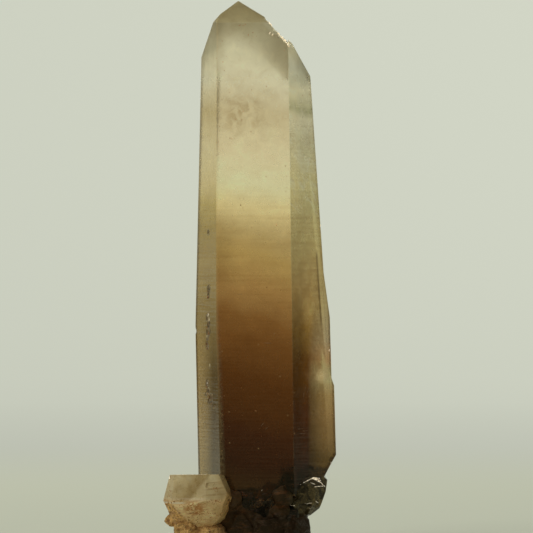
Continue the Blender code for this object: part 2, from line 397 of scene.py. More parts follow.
def glassy_lump():
    """Clear broken lump at the right front of the foot, domed above and drawn in below."""
    return block([
        face_at((8.9, -8.9, 9.0), 0.0, 4.0),
        face_at((6.3, -8.0, 9.0), -50.0, 10.0),
        face_at((5.3, -6.0, 9.0), -85.0),
        face_at((6.6, -7.4, 11.8), -35.0, 45.0),
        face_at((9.2, -7.0, 12.6), 8.0, 48.0),
        face_at((9.5, -5.0, 13.0), 20.0, 80.0),
        face_at((11.8, -6.0, 12.6), 88.0, 46.0),
        face_at((12.38, -6.0, 12.1), 94.0, -9.0),
        face_at((11.4, -7.6, 10.0), 45.0, 3.0),
        face_at((11.5, -6.0, 8.5), 93.0, -21.0),
        face_at((10.95, -6.0, 7.0), 93.0, -52.0),
        face_at((10.2, -7.6, 6.8), 44.0, -42.0),
        face_at((8.4, -8.0, 6.4), -10.0, -45.0),
        face_at((9.0, -5.0, 5.4), 0.0, -80.0),
        face_at((9.0, 1.0, 9.0), 180.0),
    ])


def broken_glass():
    """The clear lump with shell-shaped breaks all over its front and top."""
    breaks = (
        ((6.6, -10.0, 13.2), (2.4, 2.2, 1.6)), ((10.4, -8.6, 14.0), (2.0, 2.4, 1.9)),
        ((9.2, -11.4, 10.6), (2.0, 2.6, 1.5)), ((12.9, -8.4, 10.4), (1.5, 2.2, 1.8)),
        ((6.2, -10.6, 9.4), (1.5, 1.9, 1.3)), ((8.4, -10.6, 7.4), (2.2, 2.0, 1.4)),
        ((11.4, -9.0, 7.6), (1.3, 1.7, 1.3)), ((5.2, -9.6, 11.4), (1.0, 1.6, 1.0)),
    )
    steps = [("UNION", chunk((7.3, -7.9, 8.9), (2.3, 1.5, 3.4), ROOT_SEED, 26))]
    steps += [
        ("DIFFERENCE", bite(centre, radii, 40.0 * index, 25.0, 100 + index, 0.06))
        for index, (centre, radii) in enumerate(breaks)
    ]
    return shaped(glassy_lump(), steps)


def lumps(shapes, seed, voxel):
    """Broken lumps grown into one mass that stands on the flat cut, as an even net."""
    solids = [chunk(centre, radii, seed + index, cuts) for index, (centre, radii, cuts) in enumerate(shapes)]
    steps = [("UNION", solid) for solid in solids[1:]]
    below_ground = block([face_at((0.0, 0.0, 0.0), 0.0, 90.0)])
    return shaped(solids[0], steps + [("DIFFERENCE", below_ground)], voxel)


def weathered(mesh, step, rise, seed, grain=0.2):
    """Breaks a mass of rock up into shallow bowls of a size, and keeps its flat cut."""
    offset = Vector((seed, 3.0, 7.0))
    moves = []
    for vertex in mesh.verts:
        place = vertex.co / step + offset
        bowl = noise.voronoi(place)[0][0]
        fine = noise.fractal(place * 3.1, 1.0, 2.0, 3)
        moves.append(vertex.normal * rise * (bowl - 0.55 + grain * fine))
    for vertex, move in zip(mesh.verts, moves):
        grounded = min(1.0, max(0.0, vertex.co.z / 0.6))
        vertex.co += move * grounded
    return mesh


ROOT_LUMPS = (
    ((0.4, -2.4, 4.6), (9.8, 7.6, 5.6), 40),
    ((3.4, -5.0, 4.0), (5.8, 4.8, 7.4), 28),
    ((-4.0, -5.6, 3.4), (7.0, 5.0, 6.8), 28),
    ((7.2, 0.2, 10.4), (3.4, 3.8, 3.5), 18),
    ((2.6, 2.2, 4.4), (6.2, 4.6, 6.2), 30),
    ((-6.0, 1.6, 4.6), (5.8, 4.8, 6.2), 30),
    ((-9.0, -3.4, 3.2), (4.9, 6.0, 6.0), 24),
    ((-3.8, -8.8, 3.2), (3.2, 2.4, 3.8), 20),
    ((1.2, -8.2, 2.6), (4.4, 2.4, 3.6), 22),
    ((-4.6, -9.2, 8.4), (1.6, 1.8, 1.7), 14),
    ((5.6, -7.2, 6.2), (3.0, 1.7, 2.0), 18),
    ((7.0, -8.5, 3.4), (2.3, 2.1, 2.6), 18),
    ((4.4, -9.6, 9.2), (2.0, 1.3, 2.2), 34),
)


CRUST_LUMPS = (
    ((-9.0, -8.8, 1.8), (4.6, 3.8, 3.0), 20),
    ((-13.9, -7.2, 5.0), (2.65, 3.4, 1.5), 16),
    ((-12.4, -10.0, 3.6), (2.3, 2.2, 1.8), 14),
    ((-11.6, -5.0, 2.2), (3.4, 3.6, 2.6), 18),
)

# Rust grains on the tall crystal's front: middle of each cluster, its spread and how many grains
GRAIN_CLUSTERS = (
    ((-2.2, 93.1), (0.5, 0.3), 4), ((-3.2, 93.2), (0.5, 0.2), 3), ((-1.2, 91.3), (0.6, 0.5), 4),
    ((3.4, 91.1), (0.4, 0.4), 4), ((4.9, 89.0), (0.25, 0.8), 6), ((-4.8, 73.0), (0.3, 0.4), 4),
    ((-1.2, 42.7), (0.1, 0.1), 1), ((-7.0, 72.0), (0.4, 4.0), 16), ((-6.4, 88.0), (1.0, 3.0), 8),
    ((5.1, 66.0), (0.3, 5.0), 10), ((-3.0, 78.0), (3.0, 3.0), 14), ((-4.0, 60.0), (2.6, 4.0), 8),
    ((0.0, 50.0), (5.0, 8.0), 8), ((0.0, 24.0), (5.5, 9.0), 10), ((-6.3, 24.0), (0.4, 7.0), 12),
    ((-8.8, 45.6), (0.3, 0.7), 5), ((-8.9, 39.3), (0.3, 1.8), 14), ((-9.1, 36.0), (0.2, 0.5), 5),
    ((-8.8, 27.4), (0.6, 1.3), 12),
)

# Small frosted flakes in the tall crystal's surface, bright with a painted glow, each by its place, its length and
# its lean
BRIGHT_FLAKES = (
    (2.1, 91.7, 0.30, 25.0), (2.6, 91.4, 0.28, 25.0), (11.2, 57.4, 0.3, 0.0), (12.8, 35.1, 0.26, 0.0),
    (0.7, 10.3, 0.12, 40.0), (3.0, 9.9, 0.10, 80.0), (13.1, 14.9, 0.16, 20.0), (-8.9, 41.6, 0.4, 0.0),
    (-8.75, 40.6, 0.3, 10.0), (-9.1, 29.2, 0.22, 30.0), (4.2, 9.4, 0.16, 100.0),
)

# Rust and dark filling of the left face's pits, each by its place, its length and its lean
PIT_STAINS = (
    (-9.1, 45.6, 0.24, 10.0), (-8.95, 44.6, 0.3, -8.0), (-9.1, 42.9, 0.2, 0.0), (-9.1, 39.2, 0.28, 14.0),
    (-8.8, 38.2, 0.3, -10.0), (-9.25, 36.3, 0.34, 4.0), (-9.15, 35.4, 0.2, 0.0), (-9.25, 28.5, 0.3, 20.0),
    (-9.05, 27.3, 0.26, -16.0), (-8.7, 26.6, 0.24, 40.0), (-8.3, 25.6, 0.26, 10.0),
)

# Painted shadows in the same pits, drawn as dark flakes
PIT_SHADOW_MARKS = (
    (-8.85, 56.2, 0.18, 0.0), (-8.75, 46.1, 0.26, -20.0), (-8.9, 45.2, 0.20, 15.0), (-8.65, 40.1, 0.34, 8.0),
    (-8.8, 39.4, 0.30, -12.0), (-8.6, 38.5, 0.28, 10.0), (-8.9, 37.5, 0.16, 60.0), (-8.3, 26.0, 0.28, -35.0),
    (-8.9, 27.9, 0.20, 20.0), (-8.0, 25.2, 0.18, 50.0),
)

# Hair-thin scratches, each by its place, its length and its lean
SCRATCHES = (
    (7.2, 34.7, 0.7, 22.0), (7.7, 34.4, 0.5, 30.0), (7.4, 33.9, 0.4, 14.0), (8.5, 28.6, 0.8, 18.0),
    (8.9, 27.9, 0.9, 32.0), (8.2, 27.3, 0.6, 8.0), (9.3, 27.0, 0.6, 24.0), (8.6, 26.6, 0.5, 40.0),
    (0.8, 22.0, 0.6, 42.0), (1.6, 21.4, 0.5, 52.0), (7.6, 21.2, 1.2, 90.0), (8.4, 20.8, 1.0, 90.0),
    (8.0, 20.4, 1.1, 88.0), (1.8, 36.5, 0.9, 90.0), (-3.4, 45.2, 0.7, 92.0),
)
HAIR = 0.03
GRAIN_SIZES = (0.05, 0.06, 0.06, 0.08, 0.11)
FAR_OFF = 60.0

# Crumbs of rust on the side crystal, by the line that they lie along, how far they stray and how many
CRUMB_BANDS = (
    (((-16.3, 8.2), (-12.2, 4.0)), 0.7, 120), (((-16.0, 6.6), (-13.4, 4.2)), 0.9, 90),
    (((-5.3, 8.9), (-4.7, 6.4)), 0.35, 40), (((-12.3, 4.9), (-10.6, 5.2)), 0.5, 24),
)
CRUMB_SIZES = (0.05, 0.06, 0.08, 0.11, 0.16)

# Red grains on the side crystal, by the middle of each crowd, its spread and how many grains
SIDE_GRAINS = (
    ((-11.6, 7.6), (1.2, 0.7), 40), ((-10.6, 6.6), (1.1, 0.5), 26), ((-12.4, 5.6), (0.8, 0.6), 18),
    ((-8.0, 8.6), (1.6, 0.7), 26), ((-8.6, 6.2), (1.8, 1.2), 26), ((-15.6, 9.4), (0.3, 1.0), 10),
    ((-7.6, 10.9), (0.8, 0.6), 16), ((-5.2, 8.0), (0.3, 0.8), 12),
)

# Level red brown streaks across the dark foot
STREAKS, STREAKS_ACROSS, STREAKS_HIGH = 130, (-5.6, 6.4), (2.5, 10.0)

# Painted glints along the edges of the clear lump's breaks, each a line in the front view and its thickness
GLINTS = (
    ((8.1, 11.6), (9.8, 12.35), 0.12), ((9.8, 12.4), (11.0, 12.3), 0.22), ((9.9, 12.2), (11.2, 11.95), 0.20),
    ((10.4, 11.9), (11.3, 11.6), 0.12), ((10.9, 11.9), (11.9, 10.9), 0.07), ((10.1, 10.9), (11.5, 10.95), 0.10),
    ((9.4, 11.6), (10.2, 11.3), 0.05), ((5.6, 11.2), (7.6, 11.3), 0.025), ((5.4, 7.7), (6.6, 7.5), 0.03),
    ((8.6, 7.9), (9.6, 8.0), 0.025), ((10.3, 8.3), (10.8, 7.9), 0.05),
)


def flakes(surface, places, seed, flatness):
    """Small broken flakes that lie on a surface as seen from the front, as one mesh."""
    rng = random.Random(seed)
    tree = BVHTree.FromBMesh(surface)
    mesh = bmesh.new()
    for across, height, wide, tall, lean in places:
        spot, normal, _, _ = tree.ray_cast(Vector((across, -FAR_OFF, height)), Vector((0.0, 1.0, 0.0)))
        if spot is None:
            continue
        flake = bmesh.ops.create_icosphere(mesh, subdivisions=1, radius=1.0)["verts"]
        for vertex in flake:
            vertex.co *= rng.uniform(0.75, 1.15)
        turned = Vector((0.0, -1.0, 0.0)).rotation_difference(normal).to_matrix().to_4x4()
        spin = Matrix.Rotation(math.radians(lean), 4, "Y")
        stretch = Matrix.Diagonal((wide, min(wide, tall) * flatness, tall, 1.0))
        place = Matrix.Translation(spot) @ turned @ spin @ stretch
        bmesh.ops.transform(mesh, matrix=place, verts=flake)
    return mesh


def both_together(mesh, other):
    """Two meshes as one."""
    data = bpy.data.meshes.new("both")
    other.to_mesh(data)
    other.free()
    mesh.from_mesh(data)
    bpy.data.meshes.remove(data)
    return mesh


def rust_grains(surface):
    rng = random.Random(GRAIN_SEED)
    places = []
    for (across, height), (wide, tall), count in GRAIN_CLUSTERS:
        for _ in range(count):
            size = rng.choice(GRAIN_SIZES)
            spot = (across + rng.gauss(0.0, 0.6) * wide, height + rng.gauss(0.0, 0.6) * tall)
            places.append((*spot, size * rng.uniform(0.7, 1.4), size, rng.uniform(0.0, 90.0)))
    places += [(across, height, size * 0.6, size, lean) for across, height, size, lean in PIT_STAINS]
    return flakes(surface, places, GRAIN_SEED, 0.4)


def nicks_painted_glow(surface):
    """Fresh nicks in the tall crystal's faces, lit by a painted glow."""
    places = [(across, height, size * 0.4, size, lean) for across, height, size, lean in BRIGHT_FLAKES]
    return flakes(surface, places, FLAKE_SEED, 0.4)


def pit_painted_shadows(surface):
    """Painted shadows: dark flakes in the bottoms of the left face's pits."""
    places = [(across, height, size * 0.5, size, lean) for across, height, size, lean in PIT_SHADOW_MARKS]
    return flakes(surface, places, FLAKE_SEED + 2, 0.3)


def hair_scratches(surface):
    places = [(across, height, HAIR, size, lean) for across, height, size, lean in SCRATCHES]
    return flakes(surface, places, FLAKE_SEED, 0.4)


def broken_rim_painted_glow(surface):
    """Frosted splinters along the broken strip's edge, which glow as painted light caught from behind."""
    rng = random.Random(FLAKE_SEED)
    places = []
    for index in range(RIM_SPLINTERS):
        at = RIM_START.lerp(RIM_END, (index + rng.uniform(0.0, 0.8)) / RIM_SPLINTERS)
        inward = rng.uniform(-0.05, 0.2)
        size = rng.uniform(0.06, 0.12)
        lean = RIM_LEAN + rng.uniform(-20.0, 20.0)
        places.append((at.x - inward, at.z - inward, size, size * rng.uniform(1.2, 2.6), lean))
    return flakes(surface, places, FLAKE_SEED, 0.4)


def foot_streaks(surface):
    """Red brown streaks that lie level across the dark foot."""
    rng = random.Random(GRAIN_SEED + 2)
    places = []
    for _ in range(STREAKS):
        across, height = rng.uniform(*STREAKS_ACROSS), rng.uniform(*STREAKS_HIGH)
        places.append((across, height, rng.uniform(0.15, 0.8), rng.uniform(0.03, 0.07), rng.uniform(-12.0, 12.0)))
    return flakes(surface, places, GRAIN_SEED + 2, 0.5)


def side_grains(surface):
    """Red grains and short strokes of rust crowded on the side crystal's lower face."""
    rng = random.Random(GRAIN_SEED + 3)
    places = []
    for (across, height), (wide, tall), count in SIDE_GRAINS:
        for _ in range(count):
            size = rng.choice(GRAIN_SIZES)
            spot = (across + rng.gauss(0.0, 0.6) * wide, height + rng.gauss(0.0, 0.6) * tall)
            places.append((*spot, size * rng.uniform(0.8, 3.0), size * 0.7, rng.uniform(-20.0, 20.0)))
    return flakes(surface, places, GRAIN_SEED + 3, 0.5)


def crust_crumbs(surface):
    """Crumbs of rust along the side crystal's low left edge and at its right corner."""
    rng = random.Random(GRAIN_SEED + 1)
    places = []
    for (start, end), width, count in CRUMB_BANDS:
        start, end = Vector(start), Vector(end)
        aside = (end - start).orthogonal().normalized()
        for _ in range(count):
            at = start.lerp(end, rng.random()) + aside * rng.gauss(0.0, 0.5) * width
            size = rng.choice(CRUMB_SIZES)
            places.append((*at, size * rng.uniform(0.7, 1.5), size, rng.uniform(0.0, 90.0)))
    return flakes(surface, places, GRAIN_SEED + 1, 0.7)


def lump_painted_glints(surface):
    """Painted glints: glowing flakes along the edges of the shell-shaped breaks in the clear lump."""
    rng = random.Random(FLAKE_SEED + 1)
    places = []
    for start, end, thick in GLINTS:
        start, end = Vector(start), Vector(end)
        run = end - start
        lean = math.degrees(math.atan2(run.x, run.y))
        count = max(3, int(run.length / 0.16))
        for index in range(count):
            at = start + run * (index + rng.uniform(0.0, 1.0)) / count
            places.append((*at, thick * rng.uniform(0.3, 1.2), rng.uniform(0.10, 0.24), lean + rng.uniform(-15.0, 15.0)))
    return flakes(surface, places, FLAKE_SEED + 1, 0.5)


class Finish:
    """One material, whose Principled shader is fed by small named steps."""

    def __init__(self, name):
        self.material = bpy.data.materials.new(name)
        self.material.use_nodes = True
        self.tree = self.material.node_tree
        self.shader = self.tree.nodes["Principled BSDF"]

    def feed(self, socket, value):
        """Plain value, or what another step gives, on a socket."""
        if isinstance(value, bpy.types.NodeSocket):
            self.tree.links.new(value, socket)
        elif socket.type == "RGBA":
            socket.default_value = (*value, 1.0)
        else:
            socket.default_value = value

    def step(self, kind, inputs, output=0, **settings):
        """Adds a node of a kind and gives one of its outputs."""
        node = self.tree.nodes.new("ShaderNode" + kind)
        for key, value in settings.items():
            setattr(node, key, value)
        for key, value in inputs.items():
            self.feed(node.inputs[key], value)
        return node.outputs[output]

    def place(self, turn=(0.0, 0.0, 0.0), stretch=(1.0, 1.0, 1.0)):
        """Place on the crystal in millimetres from the foot of its axis, turned and then stretched."""
        at = self.step("TexCoord", {}, "Object")
        middle = self.step("Mapping", {"Vector": at, "Location": -AXIS / MM, "Scale": (1 / MM,) * 3})
        if turn == (0.0, 0.0, 0.0) and stretch == (1.0, 1.0, 1.0):
            return middle
        turned = self.step("Mapping", {"Vector": middle, "Rotation": [math.radians(angle) for angle in turn]})
        return self.step("Mapping", {"Vector": turned, "Scale": stretch})

    def math(self, operation, a, b=0.0, c=0.0):
        return self.step("Math", {0: a, 1: b, 2: c}, operation=operation)

    def noise(self, vector, scale, detail=3.0, roughness=0.5, distortion=0.0):
        return self.step("TexNoise", {"Vector": vector, "Scale": scale, "Detail": detail,
                                      "Roughness": roughness, "Distortion": distortion})

    def spread(self, value, low, high, start=0.0, end=1.0):
        """Value's run from low to high, softly carried over to start and end."""
        return self.step("MapRange", {"Value": value, "From Min": low, "From Max": high,
                                      "To Min": start, "To Max": end}, interpolation_type="SMOOTHSTEP")

    def ramp(self, value, stops):
        """Colours along a value, each stop a place and a colour."""
        node = self.tree.nodes.new("ShaderNodeValToRGB")
        self.feed(node.inputs[0], value)
        elements = node.color_ramp.elements
        for index, (position, colour) in enumerate(stops):
            element = elements[index] if index < 2 else elements.new(position)
            element.position = position
            element.color = (*colour, 1.0)
        return node.outputs[0]

    def mix(self, factor, a, b, blend="MIX"):
        node = self.tree.nodes.new("ShaderNodeMix")
        node.data_type = "RGBA"
        node.blend_type = blend
        self.feed(node.inputs[0], factor)
        self.feed(node.inputs[6], a)
        self.feed(node.inputs[7], b)
        return node.outputs[2]

    def parts(self, vector):
        """The three numbers of a place, or of a face's marks."""
        node = self.tree.nodes.new("ShaderNodeSeparateXYZ")
        self.feed(node.inputs[0], vector)
        return node.outputs

    def times(self, *factors):
        """Product of several factors."""
        product = factors[0]
        for factor in factors[1:]:
            product = self.math("MULTIPLY", product, factor)
        return product

    def patch(self, place, centre, size, soft=0.3):
        """One inside a rounded patch of the front view and nought outside it."""
        (across, height), (wide, tall) = centre, size
        from_middle = self.step("Mapping", {
            "Vector": place,
            "Location": (-across / wide, 0.0, -height / tall),
            "Scale": (1.0 / wide, 0.0, 1.0 / tall),
        })
        away = self.step("VectorMath", {0: from_middle}, "Value", operation="LENGTH")
        return self.spread(away, 1.0, soft)

    def under(self, place, high, side):
        """How far a place lies outside a side face's plane, below nought inside the crystal."""
        turn, reach, lean = side
        outward = self.step("VectorMath", {0: place, 1: facing(turn)}, "Value", operation="DOT_PRODUCT")
        slope = self.times(high, math.tan(math.radians(lean)))
        return self.math("SUBTRACT", self.math("ADD", outward, slope), reach)

    def dots(self, place, pitch, size, share, seed=0.0):
        """Scattered dots of a size, in a share of the cells of a pitch."""
        moved = self.step("Mapping", {"Vector": place, "Location": (seed, 2.0 * seed, 0.0)})
        cells = {"Vector": moved, "Scale": 1.0 / pitch}
        near = self.step("TexVoronoi", cells, "Distance", feature="F1")
        draw = self.parts(self.step("TexVoronoi", cells, "Color", feature="F1"))[0]
        return self.times(self.spread(near, size / pitch, 0.5 * size / pitch), self.math("LESS_THAN", draw, share))

    def bump(self, relief, depth, strength=1.0):
        """Raises the surface by a relief, its depth in millimetres."""
        raised = self.step("Bump", {"Height": relief, "Strength": strength, "Distance": depth * MM})
        self.feed(self.shader.inputs["Normal"], raised)

    def plain(self, **values):
        """Values that are the same all over the surface."""
        for name, value in values.items():
            self.shader.inputs[name.replace("_", " ")].default_value = value


# Colours down each side of the tall crystal, as height above the cut and what the face lets through
BACK_COLOURS = (
    (12, (0.32, 0.22, 0.11)), (30, (0.33, 0.22, 0.11)), (40, (0.42, 0.30, 0.15)), (50, (0.55, 0.42, 0.22)),
    (57, (0.75, 0.60, 0.33)), (61, (1.0, 0.88, 0.53)), (65, (1.0, 1.0, 0.72)), (71, (1.0, 0.94, 0.69)),
    (78, (0.86, 0.76, 0.53)), (82, (0.93, 0.85, 0.66)), (91, (0.98, 0.93, 0.78)), (94, (0.48, 0.40, 0.22)),
)
FRONT_COLOURS = (
    (11, (0.0062, 0.0016, 0.0003)), (15, (0.0046, 0.0005, 0.0001)), (20, (0.0110, 0.0012, 0.0002)),
    (30, (0.0475, 0.0077, 0.0005)), (37, (0.125, 0.0278, 0.0031)), (41, (0.204, 0.0565, 0.0085)),
    (46, (0.52, 0.215, 0.050)), (52, (0.67, 0.37, 0.095)), (56, (0.61, 0.385, 0.138)),
    (60, (1.0, 0.73, 0.355)), (65, (1.0, 0.83, 0.495)), (70, (1.0, 0.75, 0.46)), (78, (0.81, 0.625, 0.386)),
    (84, (1.0, 0.90, 0.68)), (87, (0.84, 0.77, 0.58)), (89, (0.70, 0.63, 0.47)), (91, (0.60, 0.54, 0.39)),
)
LEFT_COLOURS = (
    (12, (0.72, 0.46, 0.12)), (22, (0.90, 0.60, 0.21)), (33, (0.63, 0.45, 0.19)),
    (40, (0.34, 0.235, 0.080)), (50, (0.32, 0.205, 0.052)), (57, (0.235, 0.134, 0.013)), (61, (0.37, 0.225, 0.036)),
    (65, (0.62, 0.38, 0.125)), (71, (0.71, 0.50, 0.225)), (78, (0.53, 0.345, 0.11)),
    (82, (0.79, 0.62, 0.335)), (84.5, (0.86, 0.77, 0.53)), (86.5, (0.82, 0.73, 0.50)),
    (88.5, (0.36, 0.32, 0.20)), (91, (0.36, 0.31, 0.19)),
)
RIGHT_COLOURS = (
    (15, (0.0012, 0.0001, 0.0001)), (25, (0.0170, 0.0018, 0.0001)), (33, (0.053, 0.0130, 0.0005)),
    (40, (0.185, 0.095, 0.0165)), (46, (0.62, 0.43, 0.168)), (55, (0.56, 0.49, 0.22)),
    (60, (0.48, 0.415, 0.20)), (65, (0.58, 0.465, 0.21)), (73, (0.52, 0.47, 0.315)),
    (76, (0.84, 0.81, 0.64)), (78, (0.315, 0.325, 0.170)), (82, (0.88, 0.83, 0.60)),
    (84, (0.46, 0.47, 0.37)), (86, (0.465, 0.49, 0.45)), (88, (0.60, 0.585, 0.470)),
)
RIM_COLOURS = (
    (12, (0.085, 0.041, 0.011)), (16, (0.068, 0.033, 0.0049)), (23, (0.50, 0.265, 0.084)),
    (27, (0.74, 0.47, 0.165)), (30, (1.0, 0.95, 0.50)), (33, (0.74, 0.39, 0.175)),
    (37, (0.49, 0.40, 0.29)), (44, (0.45, 0.38, 0.195)), (52, (0.345, 0.255, 0.095)), (60, (0.385, 0.315, 0.13)),
)
GLOW_SPOT, GLOW_BEHIND, GLOW_SIZE = (11.45, 30.5), (8.75, 30.3), (2.1, 1.9)
HAZE_SPOT, HAZE_SIZE = (10.5, 30.8), (2.7, 2.2)
LEDGE_FOOT, LEDGE_SLOPE = 14.0, -0.0667
CLOUD, CLOUD_SIZE = (-2.6, 77.2), (5.6, 4.6)


def smoky_quartz():
    """Clear quartz, pale at the tip, honey at mid height and deep brown at the foot."""
    finish = Finish("smoky_quartz")
    place = finish.place()
    across, deep, high = finish.parts(place)
    front, left, right = finish.parts(finish.step("Attribute", {}, "Vector", attribute_name="zone"))
    broken = finish.step("Attribute", {}, "Fac", attribute_name="broken")
    drift = finish.math("SUBTRACT", finish.noise(place, 0.14, 2.0), 0.5)
    height = finish.math("ADD", high, finish.times(drift, 5.0))

    def down(colours, value):
        return finish.ramp(finish.math("DIVIDE", value, 100.0), [(z / 100.0, c) for z, c in colours])

    tilted = finish.math("ADD", height, finish.times(across, 0.22))
    outer = finish.times(finish.spread(across, 8.8, 12.5), finish.spread(high, 58.0, 44.0))
    top_face = finish.times(finish.spread(deep, -4.5, -5.4), finish.spread(high, 90.0, 92.0), 4.0)
    colour = down(BACK_COLOURS, finish.math("ADD", height, top_face))
    colour = finish.mix(front, colour, down(FRONT_COLOURS, tilted))
    colour = finish.mix(left, colour, down(LEFT_COLOURS, height))
    corners = finish.times(finish.spread(across, -5.2, -7.0), finish.spread(high, 86.5, 91.0))
    corners = finish.math("MAXIMUM", corners, finish.times(finish.spread(across, -0.5, 4.5), finish.spread(high, 84.5, 87.5)))
    colour = finish.mix(finish.times(corners, front), colour, (0.66, 0.62, 0.55), "MULTIPLY")
    # Painted shade: the front face darker towards its left edge at mid height
    painted_edge_shade = finish.times(front, finish.spread(across, -2.5, -7.0), finish.spread(high, 43.0, 49.0), finish.spread(high, 60.0, 54.0))
    colour = finish.mix(painted_edge_shade, colour, (0.60, 0.57, 0.52), "MULTIPLY")
    right_side = finish.mix(outer, down(RIGHT_COLOURS, height), down(RIM_COLOURS, height))
    by_edge = finish.times(finish.spread(across, 8.2, 6.2), finish.spread(high, 55.0, 64.0))
    right_side = finish.mix(by_edge, right_side, (1.4, 1.38, 1.34), "MULTIPLY")
    by_front = finish.times(finish.spread(across, 8.4, 6.4), finish.spread(high, 44.0, 36.0))
    right_side = finish.mix(by_front, right_side, (0.80, 0.76, 0.72), "MULTIPLY")
    outward = finish.times(finish.spread(across, 7.4, 10.0), finish.spread(high, 62.0, 52.0), finish.spread(high, 27.0, 32.0))
    right_side = finish.mix(outward, right_side, (1.32, 1.32, 1.30), "MULTIPLY")
    shoulder = finish.times(finish.spread(across, 7.3, 8.6), finish.spread(across, 10.1, 9.2), finish.spread(high, 47.0, 40.0))
    right_side = finish.mix(shoulder, right_side, (1.9, 1.9, 1.8), "MULTIPLY")
    lift = finish.times(finish.spread(across, 8.6, 10.0), finish.spread(across, 12.6, 11.4), finish.spread(high, 47.0, 42.0), finish.spread(high, 28.0, 34.0))
    right_side = finish.mix(lift, right_side, (1.6, 1.65, 1.6), "MULTIPLY")
    colour = finish.mix(right, colour, right_side)

    # Growth bands, a beige cloud, veils, and a painted glow where a flaw inside catches light
    bands = finish.noise(finish.place(stretch=(0.07, 0.07, 1.5)), 1.0, 5.0, 0.6, 0.15)
    banded = finish.times(finish.spread(high, 30.0, 46.0), finish.spread(high, 68.0, 56.0), finish.spread(bands, 0.45, 0.7))
    colour = finish.mix(finish.times(banded, 0.4), colour, (0.62, 0.50, 0.36), "MULTIPLY")
    mottle = finish.noise(place, 0.5, 5.0, 0.62, 0.6)
    mottled = finish.times(finish.spread(mottle, 0.48, 0.68), finish.spread(high, 66.0, 78.0, 0.2, 0.42))
    colour = finish.mix(mottled, colour, (0.70, 0.62, 0.52), "MULTIPLY")
    clear = finish.times(finish.spread(mottle, 0.48, 0.32), 0.25)
    colour = finish.mix(clear, colour, (1.5, 1.45, 1.35), "MULTIPLY")
    cloudy = finish.times(finish.patch(place, CLOUD, CLOUD_SIZE, 0.2), finish.spread(mottle, 0.38, 0.6), front)
    colour = finish.mix(finish.times(cloudy, 0.85), colour, (0.62, 0.51, 0.38), "MULTIPLY")
    wisps = finish.noise(finish.place((0.0, 35.0, 0.0), (0.5, 0.3, 0.16)), 1.0, 5.0, 0.65, 1.4)
    veils = finish.times(finish.spread(wisps, 0.5, 0.66), right, finish.spread(high, 56.0, 64.0), finish.spread(high, 90.0, 82.0))
    colour = finish.mix(finish.times(veils, 0.5), colour, (0.72, 0.70, 0.56))
    haze = finish.times(finish.patch(place, HAZE_SPOT, HAZE_SIZE, 0.0), right, 0.45)
    colour = finish.mix(haze, colour, (0.46, 0.19, 0.05))
    # Painted glow: light caught by a flaw inside, on the right face and on the faces behind it
    glow = finish.times(finish.patch(place, GLOW_SPOT, GLOW_SIZE, 0.0), right)
    behind = finish.times(finish.patch(place, GLOW_BEHIND, GLOW_SIZE, 0.0), finish.math("SUBTRACT", 1.0, right))
    colour = finish.mix(finish.math("MAXIMUM", glow, behind), colour, (1.0, 0.78, 0.45))
    from_ledge = finish.math("SUBTRACT", across, finish.math("ADD", LEDGE_FOOT, finish.times(high, LEDGE_SLOPE)))
    ledge = finish.times(finish.spread(finish.math("ABSOLUTE", from_ledge), 0.24, 0.08), right, finish.spread(high, 38.0, 41.0), finish.spread(high, 53.5, 52.0))
    colour = finish.mix(finish.times(ledge, 0.85), colour, (0.20, 0.15, 0.09), "MULTIPLY")

    # Darker inward on the left face, and a grainy brown band beside its front edge
    left_depth = finish.math("MAXIMUM", finish.under(place, high, SIDES[6]), finish.under(place, high, SIDES[7]))
    inward = finish.times(left, finish.spread(across, -10.8, -7.9), finish.spread(high, 50.0, 30.0))
    colour = finish.mix(inward, colour, (0.02, 0.015, 0.008), "MULTIPLY")
    grain = finish.noise(place, 3.2, 3.0, 0.7)
    beside = finish.times(finish.spread(left_depth, -0.9, -0.2), finish.spread(high, 52.0, 28.0))
    colour = finish.mix(finish.times(beside, finish.spread(grain, 0.4, 0.6), 0.7), colour, (0.075, 0.05, 0.025))
    # Painted light: a thin amber line of light refracted along the front face's left edge
    amber = finish.times(front, finish.spread(left_depth, -0.42, -0.12), finish.spread(high, 14.0, 40.0), 0.12)
    colour = finish.mix(amber, colour, (0.80, 0.50, 0.18))
    specks = finish.math("MAXIMUM", finish.dots(place, 1.3, 0.16, 0.2), finish.dots(place, 2.6, 0.24, 0.12, 5.0))
    specks = finish.times(specks, finish.spread(high, 52.0, 70.0, 0.35, 0.8))
    colour = finish.mix(specks, colour, (0.42, 0.20, 0.08))

